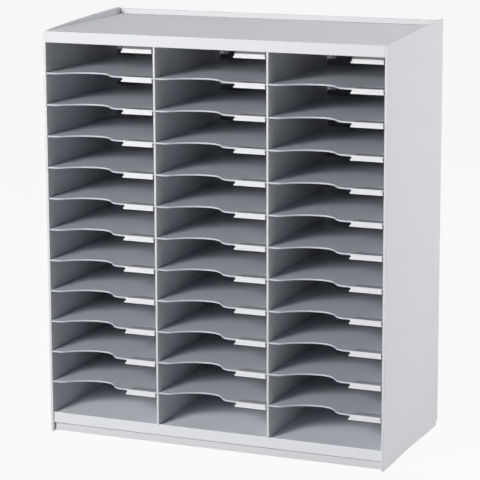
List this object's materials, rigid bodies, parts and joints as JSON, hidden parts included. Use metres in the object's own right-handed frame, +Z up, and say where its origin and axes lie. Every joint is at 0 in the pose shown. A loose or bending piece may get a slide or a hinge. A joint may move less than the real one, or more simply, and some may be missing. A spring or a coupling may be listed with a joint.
{
  "type": "pigeonhole mail sorter",
  "caption": "Free-standing mail sorter for A4 with three columns of pigeonholes, slide-out shelves with finger scoops and a label holder on each shelf.",
  "frame": {"origin": "on the floor, under the middle of the whole unit's box", "axes": "+Z up, the open front faces -Y, +X to the right when facing the front"},
  "size_m": [0.674, 0.323, 0.7868],
  "materials": {
    "body_plastic": "light grey, fine satin grain",
    "shelf_plastic": "light grey, satin",
    "back_board": "mid grey, matt",
    "label_plastic": "white, glossy",
    "screw_steel": "zinc plated"
  },
  "bodies": {
    "carcase": {"side_panel_left": "body_plastic", "side_panel_right": "body_plastic", "divider_left": "body_plastic", "divider_right": "body_plastic", "top_panel": "body_plastic", "base_panel": "body_plastic", "plinth_front": "body_plastic", "plinth_rear": "body_plastic", "rear_strip_left": "body_plastic", "rear_strip_middle_left": "body_plastic", "rear_strip_middle_right": "body_plastic", "rear_strip_right": "body_plastic", "back_panel_left": "back_board", "back_panel_middle": "back_board", "back_panel_right": "back_board", "top_label_holder_left": "label_plastic", "top_label_holder_middle": "label_plastic", "top_label_holder_right": "label_plastic", "frame_screws": "screw_steel"},
    "shelf_left_01": {"shelf_left_01": "shelf_plastic"},
    "shelf_left_02": {"shelf_left_02": "shelf_plastic"},
    "shelf_left_03": {"shelf_left_03": "shelf_plastic"},
    "shelf_left_04": {"shelf_left_04": "shelf_plastic"},
    "shelf_left_05": {"shelf_left_05": "shelf_plastic"},
    "shelf_left_06": {"shelf_left_06": "shelf_plastic"},
    "shelf_left_07": {"shelf_left_07": "shelf_plastic"},
    "shelf_left_08": {"shelf_left_08": "shelf_plastic"},
    "shelf_left_09": {"shelf_left_09": "shelf_plastic"},
    "shelf_left_10": {"shelf_left_10": "shelf_plastic"},
    "shelf_left_11": {"shelf_left_11": "shelf_plastic"},
    "shelf_middle_01": {"shelf_middle_01": "shelf_plastic"},
    "shelf_middle_02": {"shelf_middle_02": "shelf_plastic"},
    "shelf_middle_03": {"shelf_middle_03": "shelf_plastic"},
    "shelf_middle_04": {"shelf_middle_04": "shelf_plastic"},
    "shelf_middle_05": {"shelf_middle_05": "shelf_plastic"},
    "shelf_middle_06": {"shelf_middle_06": "shelf_plastic"},
    "shelf_middle_07": {"shelf_middle_07": "shelf_plastic"},
    "shelf_middle_08": {"shelf_middle_08": "shelf_plastic"},
    "shelf_middle_09": {"shelf_middle_09": "shelf_plastic"},
    "shelf_middle_10": {"shelf_middle_10": "shelf_plastic"},
    "shelf_middle_11": {"shelf_middle_11": "shelf_plastic"},
    "shelf_right_01": {"shelf_right_01": "shelf_plastic"},
    "shelf_right_02": {"shelf_right_02": "shelf_plastic"},
    "shelf_right_03": {"shelf_right_03": "shelf_plastic"},
    "shelf_right_04": {"shelf_right_04": "shelf_plastic"},
    "shelf_right_05": {"shelf_right_05": "shelf_plastic"},
    "shelf_right_06": {"shelf_right_06": "shelf_plastic"},
    "shelf_right_07": {"shelf_right_07": "shelf_plastic"},
    "shelf_right_08": {"shelf_right_08": "shelf_plastic"},
    "shelf_right_09": {"shelf_right_09": "shelf_plastic"},
    "shelf_right_10": {"shelf_right_10": "shelf_plastic"},
    "shelf_right_11": {"shelf_right_11": "shelf_plastic"}
  },
  "joints": [
    {"name": "slide_left_01", "type": "slide", "parent": "carcase", "child": "shelf_left_01", "axis": [0, -1, 0], "range_m": [0, 0.29]},
    {"name": "slide_left_02", "type": "slide", "parent": "carcase", "child": "shelf_left_02", "axis": [0, -1, 0], "range_m": [0, 0.29]},
    {"name": "slide_left_03", "type": "slide", "parent": "carcase", "child": "shelf_left_03", "axis": [0, -1, 0], "range_m": [0, 0.29]},
    {"name": "slide_left_04", "type": "slide", "parent": "carcase", "child": "shelf_left_04", "axis": [0, -1, 0], "range_m": [0, 0.29]},
    {"name": "slide_left_05", "type": "slide", "parent": "carcase", "child": "shelf_left_05", "axis": [0, -1, 0], "range_m": [0, 0.29]},
    {"name": "slide_left_06", "type": "slide", "parent": "carcase", "child": "shelf_left_06", "axis": [0, -1, 0], "range_m": [0, 0.29]},
    {"name": "slide_left_07", "type": "slide", "parent": "carcase", "child": "shelf_left_07", "axis": [0, -1, 0], "range_m": [0, 0.29]},
    {"name": "slide_left_08", "type": "slide", "parent": "carcase", "child": "shelf_left_08", "axis": [0, -1, 0], "range_m": [0, 0.29]},
    {"name": "slide_left_09", "type": "slide", "parent": "carcase", "child": "shelf_left_09", "axis": [0, -1, 0], "range_m": [0, 0.29]},
    {"name": "slide_left_10", "type": "slide", "parent": "carcase", "child": "shelf_left_10", "axis": [0, -1, 0], "range_m": [0, 0.29]},
    {"name": "slide_left_11", "type": "slide", "parent": "carcase", "child": "shelf_left_11", "axis": [0, -1, 0], "range_m": [0, 0.29]},
    {"name": "slide_middle_01", "type": "slide", "parent": "carcase", "child": "shelf_middle_01", "axis": [0, -1, 0], "range_m": [0, 0.29]},
    {"name": "slide_middle_02", "type": "slide", "parent": "carcase", "child": "shelf_middle_02", "axis": [0, -1, 0], "range_m": [0, 0.29]},
    {"name": "slide_middle_03", "type": "slide", "parent": "carcase", "child": "shelf_middle_03", "axis": [0, -1, 0], "range_m": [0, 0.29]},
    {"name": "slide_middle_04", "type": "slide", "parent": "carcase", "child": "shelf_middle_04", "axis": [0, -1, 0], "range_m": [0, 0.29]},
    {"name": "slide_middle_05", "type": "slide", "parent": "carcase", "child": "shelf_middle_05", "axis": [0, -1, 0], "range_m": [0, 0.29]},
    {"name": "slide_middle_06", "type": "slide", "parent": "carcase", "child": "shelf_middle_06", "axis": [0, -1, 0], "range_m": [0, 0.29]},
    {"name": "slide_middle_07", "type": "slide", "parent": "carcase", "child": "shelf_middle_07", "axis": [0, -1, 0], "range_m": [0, 0.29]},
    {"name": "slide_middle_08", "type": "slide", "parent": "carcase", "child": "shelf_middle_08", "axis": [0, -1, 0], "range_m": [0, 0.29]},
    {"name": "slide_middle_09", "type": "slide", "parent": "carcase", "child": "shelf_middle_09", "axis": [0, -1, 0], "range_m": [0, 0.29]},
    {"name": "slide_middle_10", "type": "slide", "parent": "carcase", "child": "shelf_middle_10", "axis": [0, -1, 0], "range_m": [0, 0.29]},
    {"name": "slide_middle_11", "type": "slide", "parent": "carcase", "child": "shelf_middle_11", "axis": [0, -1, 0], "range_m": [0, 0.29]},
    {"name": "slide_right_01", "type": "slide", "parent": "carcase", "child": "shelf_right_01", "axis": [0, -1, 0], "range_m": [0, 0.29]},
    {"name": "slide_right_02", "type": "slide", "parent": "carcase", "child": "shelf_right_02", "axis": [0, -1, 0], "range_m": [0, 0.29]},
    {"name": "slide_right_03", "type": "slide", "parent": "carcase", "child": "shelf_right_03", "axis": [0, -1, 0], "range_m": [0, 0.29]},
    {"name": "slide_right_04", "type": "slide", "parent": "carcase", "child": "shelf_right_04", "axis": [0, -1, 0], "range_m": [0, 0.29]},
    {"name": "slide_right_05", "type": "slide", "parent": "carcase", "child": "shelf_right_05", "axis": [0, -1, 0], "range_m": [0, 0.29]},
    {"name": "slide_right_06", "type": "slide", "parent": "carcase", "child": "shelf_right_06", "axis": [0, -1, 0], "range_m": [0, 0.29]},
    {"name": "slide_right_07", "type": "slide", "parent": "carcase", "child": "shelf_right_07", "axis": [0, -1, 0], "range_m": [0, 0.29]},
    {"name": "slide_right_08", "type": "slide", "parent": "carcase", "child": "shelf_right_08", "axis": [0, -1, 0], "range_m": [0, 0.29]},
    {"name": "slide_right_09", "type": "slide", "parent": "carcase", "child": "shelf_right_09", "axis": [0, -1, 0], "range_m": [0, 0.29]},
    {"name": "slide_right_10", "type": "slide", "parent": "carcase", "child": "shelf_right_10", "axis": [0, -1, 0], "range_m": [0, 0.29]},
    {"name": "slide_right_11", "type": "slide", "parent": "carcase", "child": "shelf_right_11", "axis": [0, -1, 0], "range_m": [0, 0.29]}
  ]
}
